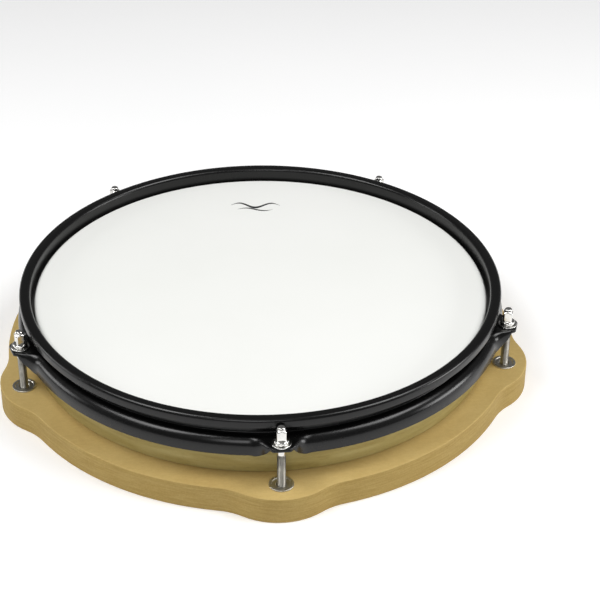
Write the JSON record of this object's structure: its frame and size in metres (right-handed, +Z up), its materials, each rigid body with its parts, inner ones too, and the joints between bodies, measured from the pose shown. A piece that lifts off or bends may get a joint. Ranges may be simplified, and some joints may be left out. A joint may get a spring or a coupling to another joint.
{
  "type": "drum practice pad",
  "caption": "Tunable drum practice pad: round drumhead held by a steel counter hoop and tension rods on a lobed fibreboard base.",
  "frame": {"origin": "centre of the underside of the base board", "axes": "+Z up through the middle of the drumhead; -Y towards the first tuning lug"},
  "size_m": [0.3516, 0.3553, 0.0621],
  "materials": {
    "fibreboard": "bare fibreboard",
    "ring_wood": "bare",
    "screw_steel": "zinc plated",
    "foam": "open cell foam",
    "head_film": "coated film",
    "rim_metal": "mill",
    "hoop_black": "gloss black enamel",
    "rod_chrome": "polished",
    "washer_steel": "polished",
    "insert_steel": "zinc plated"
  },
  "bodies": {
    "base": {"base_board": "fibreboard", "head_ring": "ring_wood", "ring_screws": "screw_steel", "foam_disc": "foam", "head_film": "head_film", "head_rim": "rim_metal", "threaded_insert_1": "insert_steel", "threaded_insert_2": "insert_steel", "threaded_insert_3": "insert_steel", "threaded_insert_4": "insert_steel", "threaded_insert_5": "insert_steel"},
    "hoop": {"counter_hoop": "hoop_black", "rod_washer_1": "washer_steel", "rod_washer_2": "washer_steel", "rod_washer_3": "washer_steel", "rod_washer_4": "washer_steel", "rod_washer_5": "washer_steel"},
    "rod_1": {"tension_rod_1": "rod_chrome"},
    "rod_2": {"tension_rod_2": "rod_chrome"},
    "rod_3": {"tension_rod_3": "rod_chrome"},
    "rod_4": {"tension_rod_4": "rod_chrome"},
    "rod_5": {"tension_rod_5": "rod_chrome"}
  },
  "joints": [
    {"name": "hoop_travel", "type": "slide", "parent": "base", "child": "hoop", "axis": [0, 0, 1], "range_m": [0, 0.00635]},
    {"name": "rod_turn_1", "type": "hinge", "parent": "hoop", "child": "rod_1", "pos_m": [0, -0.1678, 0.05], "axis": [0, 0, 1], "range_deg": [0, 2161]},
    {"name": "rod_turn_2", "type": "hinge", "parent": "hoop", "child": "rod_2", "pos_m": [0.15959, -0.05185, 0.05], "axis": [0, 0, 1], "range_deg": [0, 2161]},
    {"name": "rod_turn_3", "type": "hinge", "parent": "hoop", "child": "rod_3", "pos_m": [0.09863, 0.13575, 0.05], "axis": [0, 0, 1], "range_deg": [0, 2161]},
    {"name": "rod_turn_4", "type": "hinge", "parent": "hoop", "child": "rod_4", "pos_m": [-0.09863, 0.13575, 0.05], "axis": [0, 0, 1], "range_deg": [0, 2161]},
    {"name": "rod_turn_5", "type": "hinge", "parent": "hoop", "child": "rod_5", "pos_m": [-0.15959, -0.05185, 0.05], "axis": [0, 0, 1], "range_deg": [0, 2161]}
  ],
  "couplings": [
    {"joint": "rod_turn_1", "follows": "hoop_travel", "rad_per_m": 5936.9},
    {"joint": "rod_turn_2", "follows": "hoop_travel", "rad_per_m": 5936.9},
    {"joint": "rod_turn_3", "follows": "hoop_travel", "rad_per_m": 5936.9},
    {"joint": "rod_turn_4", "follows": "hoop_travel", "rad_per_m": 5936.9},
    {"joint": "rod_turn_5", "follows": "hoop_travel", "rad_per_m": 5936.9}
  ]
}
